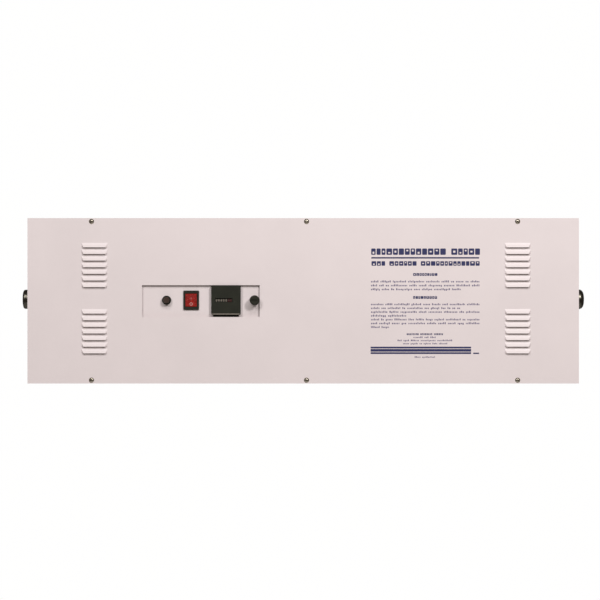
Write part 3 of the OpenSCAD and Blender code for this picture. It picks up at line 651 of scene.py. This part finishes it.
# Pen strokes of each digit, in a box 1 wide and 1.8 high.
DIGIT_STROKES = {
    "0": [[(0.3, 0), (0.7, 0), (1, 0.3), (1, 1.5), (0.7, 1.8), (0.3, 1.8), (0, 1.5), (0, 0.3), (0.3, 0)]],
    "1": [[(0.15, 1.4), (0.55, 1.8), (0.55, 0)], [(0.15, 0), (0.95, 0)]],
    "2": [[(0, 1.45), (0.3, 1.8), (0.75, 1.8), (1, 1.5), (1, 1.15), (0, 0), (1, 0)]],
    "3": [[(0, 1.8), (1, 1.8), (0.5, 1.1), (0.8, 1.05), (1, 0.75), (1, 0.3), (0.7, 0), (0.25, 0), (0, 0.3)]],
    "4": [[(0.75, 0), (0.75, 1.8), (0, 0.55), (1, 0.55)]],
    "5": [[(0.95, 1.8), (0.1, 1.8), (0.05, 1.05), (0.65, 1.1), (1, 0.8), (1, 0.3), (0.7, 0), (0.25, 0),
           (0, 0.25)]],
    "6": [[(0.85, 1.8), (0.35, 1.6), (0, 0.9), (0, 0.3), (0.3, 0), (0.7, 0), (1, 0.3), (1, 0.75), (0.7, 1.05),
           (0.3, 1.05), (0, 0.8)]],
    "7": [[(0, 1.8), (1, 1.8), (0.35, 0)]],
    "8": [[(0.3, 1.0), (0.05, 1.25), (0.05, 1.55), (0.3, 1.8), (0.7, 1.8), (0.95, 1.55), (0.95, 1.25),
           (0.7, 1.0), (0.3, 1.0), (0, 0.7), (0, 0.3), (0.3, 0), (0.7, 0), (1, 0.3), (1, 0.7), (0.7, 1.0)]],
    "9": [[(0.15, 0), (0.65, 0.2), (1, 0.9), (1, 1.5), (0.7, 1.8), (0.3, 1.8), (0, 1.5), (0, 1.05),
           (0.3, 0.75), (0.7, 0.75), (1, 1.0)]],
}
STROKE_H = 1.8
DRUMS = ("drum_10000h", "drum_1000h", "drum_100h", "drum_10h", "drum_1h", "drum_tenth", "drum_hundredth")
RED_DRUMS = ("drum_tenth", "drum_hundredth")
DIGIT_W, DIGIT_H, DIGIT_PEN = 1.45, 3.5, 0.52
DIGIT_DEPTH = 0.00004
PEN_PIECE = 0.7                     # longest straight piece of a stroke, so that it bends round the drum
PALE_INK, ROSY_INK = (0.46, 0.39, 0.30), (0.14, 0.030, 0.022)


def add_stroke(bm, start, end, place):
    """One straight pen stroke with square ends, in short pieces."""
    (x0, y0), (x1, y1) = start, end
    length = math.hypot(x1 - x0, y1 - y0)
    dx, dy = (x1 - x0) / length, (y1 - y0) / length
    pen = DIGIT_PEN / 2
    past = pen * 0.8
    ends = (x0 - dx * past, y0 - dy * past), (x1 + dx * past, y1 + dy * past)
    count = max(1, int(length / PEN_PIECE))

    def along(part):
        return [ends[0][i] + (ends[1][i] - ends[0][i]) * part for i in (0, 1)]

    for k in range(count):
        p, q = along(k / count), along((k + 1) / count)
        add_prism(bm, [(p[0] + dy * pen, p[1] - dx * pen), (q[0] + dy * pen, q[1] - dx * pen),
                       (q[0] - dy * pen, q[1] + dx * pen), (p[0] - dy * pen, p[1] + dx * pen)],
                  place, DIGIT_DEPTH)


def drum_digits(node, material):
    """Ten digits wrapped round one number drum, nought at the front."""
    lo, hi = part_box(node)
    axis_y, axis_z, radius = (lo.y + hi.y) / 2, (lo.z + hi.z) / 2, (hi.z - lo.z) / 2
    mid = (lo.x + hi.x) / 2

    def wrapped(turn):
        def place(u, v, h):
            a = turn + v * MM / radius
            r = radius + MARK_LIFT + h
            return Vector((mid + u * MM, axis_y - r * math.cos(a), axis_z + r * math.sin(a)))
        return place

    bm = bmesh.new()
    for digit in range(10):
        for stroke in DIGIT_STROKES[str(digit)]:
            line = [((x - 0.5) * DIGIT_W, (y / STROKE_H - 0.5) * DIGIT_H) for x, y in stroke]
            for start, end in zip(line, line[1:]):
                add_stroke(bm, start, end, wrapped(-math.tau * digit / 10))
    new_piece("digits_" + node, bm, material, node)


def counter_digits():
    pale, rosy = ink("mat_digit_pale", PALE_INK), ink("mat_digit_rosy", ROSY_INK)
    for node in DRUMS:
        drum_digits(node, rosy if node in RED_DRUMS else pale)


counter_digits()


# Painted highlight: a pale strip on the counter's lower bezel edge stands for light caught there; its size
# and colour follow.
LIP_HALF_WIDTH, LIP_BOTTOM, LIP_HEIGHT = 22.6, -22.1, 1.0
LIP_HIGHLIGHT_COLOUR = (0.30, 0.26, 0.22)


def counter_lip():
    """A painted highlight: a pale line along the lower edge of the counter's bezel, standing for the light
    its lower bevel catches.
    """
    lo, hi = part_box("counter_case")
    mid = (lo.x + hi.x) / 2

    def place(u, v, h):
        return Vector((mid + u * MM, lo.y - h, v * MM))

    bm = bmesh.new()
    outline = rounded(-LIP_HALF_WIDTH, LIP_BOTTOM, LIP_HALF_WIDTH, LIP_BOTTOM + LIP_HEIGHT, 0.4)
    add_prism(bm, outline, place, FLAT_LAYER_DEPTH)
    new_piece("counter_lip_highlight", bm, ink("mat_counter_lip_highlight", LIP_HIGHLIGHT_COLOUR), "case")


counter_lip()


# ---------------------------------------------------------------- stage, light and camera

LIT_SPOT = (0.0, COVER_FACE, 0.0)
# Name, place, aim, width, power, colour, and the height of a rectangle or None for a disk.
LIGHTS = (
    ("key_right", (1.15, -2.35, 1.35), (0.02, COVER_FACE, 0.0), 0.5, 39.0, (1.0, 0.99, 0.99), None),
    ("fill_left", (-1.2, -2.35, 1.35), LIT_SPOT, 0.5, 19.5, (1.0, 0.995, 1.0), None),
    ("top_soft", (0.0, -2.0, 2.0), LIT_SPOT, 2.6, 30.0, (1.0, 0.99, 1.0), 0.35),
)


def area_light(name, where, at, size, power, colour, tall):
    """A round soft light, or a rectangle when it is given a height too."""
    light = bpy.data.lights.new(name, "AREA")
    light.shape = "RECTANGLE" if tall else "DISK"
    light.size = size
    if tall:
        light.size_y = tall
    light.energy = power
    light.color = colour
    o = bpy.data.objects.new(name, light)
    o.location = where
    o.rotation_euler = (Vector(at) - Vector(where)).to_track_quat("-Z", "Y").to_euler()
    bpy.context.scene.collection.objects.link(o)


LIGHT_LEVEL, SEEN_LEVEL = 0.15, 1.0
LIGHT_TINT, SEEN_TINT = (1.0, 0.89, 0.80, 1.0), (1.0, 0.998, 0.995, 1.0)


def world():
    """White where the camera sees it, and a dimmer warm grey as a source of light."""
    w = bpy.data.worlds.new("studio")
    bpy.context.scene.world = w
    w.use_nodes = True
    t = w.node_tree
    lit = t.nodes["Background"]
    lit.inputs["Color"].default_value = LIGHT_TINT
    lit.inputs["Strength"].default_value = LIGHT_LEVEL
    seen = t.nodes.new("ShaderNodeBackground")
    seen.inputs["Color"].default_value = SEEN_TINT
    seen.inputs["Strength"].default_value = SEEN_LEVEL
    path = t.nodes.new("ShaderNodeLightPath")
    mix = t.nodes.new("ShaderNodeMixShader")
    t.links.new(path.outputs["Is Camera Ray"], mix.inputs[0])
    t.links.new(lit.outputs[0], mix.inputs[1])
    t.links.new(seen.outputs[0], mix.inputs[2])
    t.links.new(mix.outputs[0], t.nodes["World Output"].inputs["Surface"])


FLOOR_RADIUS, FLOOR_Z = 1.15, -0.8


def floor():
    """A pale round table below the object, for the raised views."""
    bm = bmesh.new()
    bmesh.ops.create_circle(bm, cap_ends=True, radius=FLOOR_RADIUS, segments=96)
    me = bpy.data.meshes.new("floor")
    bm.to_mesh(me)
    bm.free()
    s = Shader("mat_floor")
    s.colour(s.noise(3.0, 2.0), (0.88, 0.88, 0.87), (0.92, 0.92, 0.91))
    s.set(Roughness=0.9)
    me.materials.append(s.mat)
    o = bpy.data.objects.new("floor", me)
    o.location = (0, 0, FLOOR_Z)
    bpy.context.scene.collection.objects.link(o)


VIEW_WIDTH = 0.9792                 # metres across the picture at the cover's face
VIEW_RANGE = 2.6
VIEW_X, VIEW_Z = -0.0052, 0.0013
SENSOR = 36.0


def camera():
    cam = bpy.data.cameras.new("camera")
    cam.sensor_width = SENSOR
    cam.lens = SENSOR * VIEW_RANGE / VIEW_WIDTH
    o = bpy.data.objects.new("camera", cam)
    o.location = (VIEW_X, COVER_FACE - VIEW_RANGE, VIEW_Z)
    o.rotation_euler = (math.pi / 2, 0, 0)
    bpy.context.scene.collection.objects.link(o)
    bpy.context.scene.camera = o


world()
floor()
for light_row in LIGHTS:
    area_light(*light_row)
camera()
bpy.context.scene.view_settings.view_transform = "Standard"
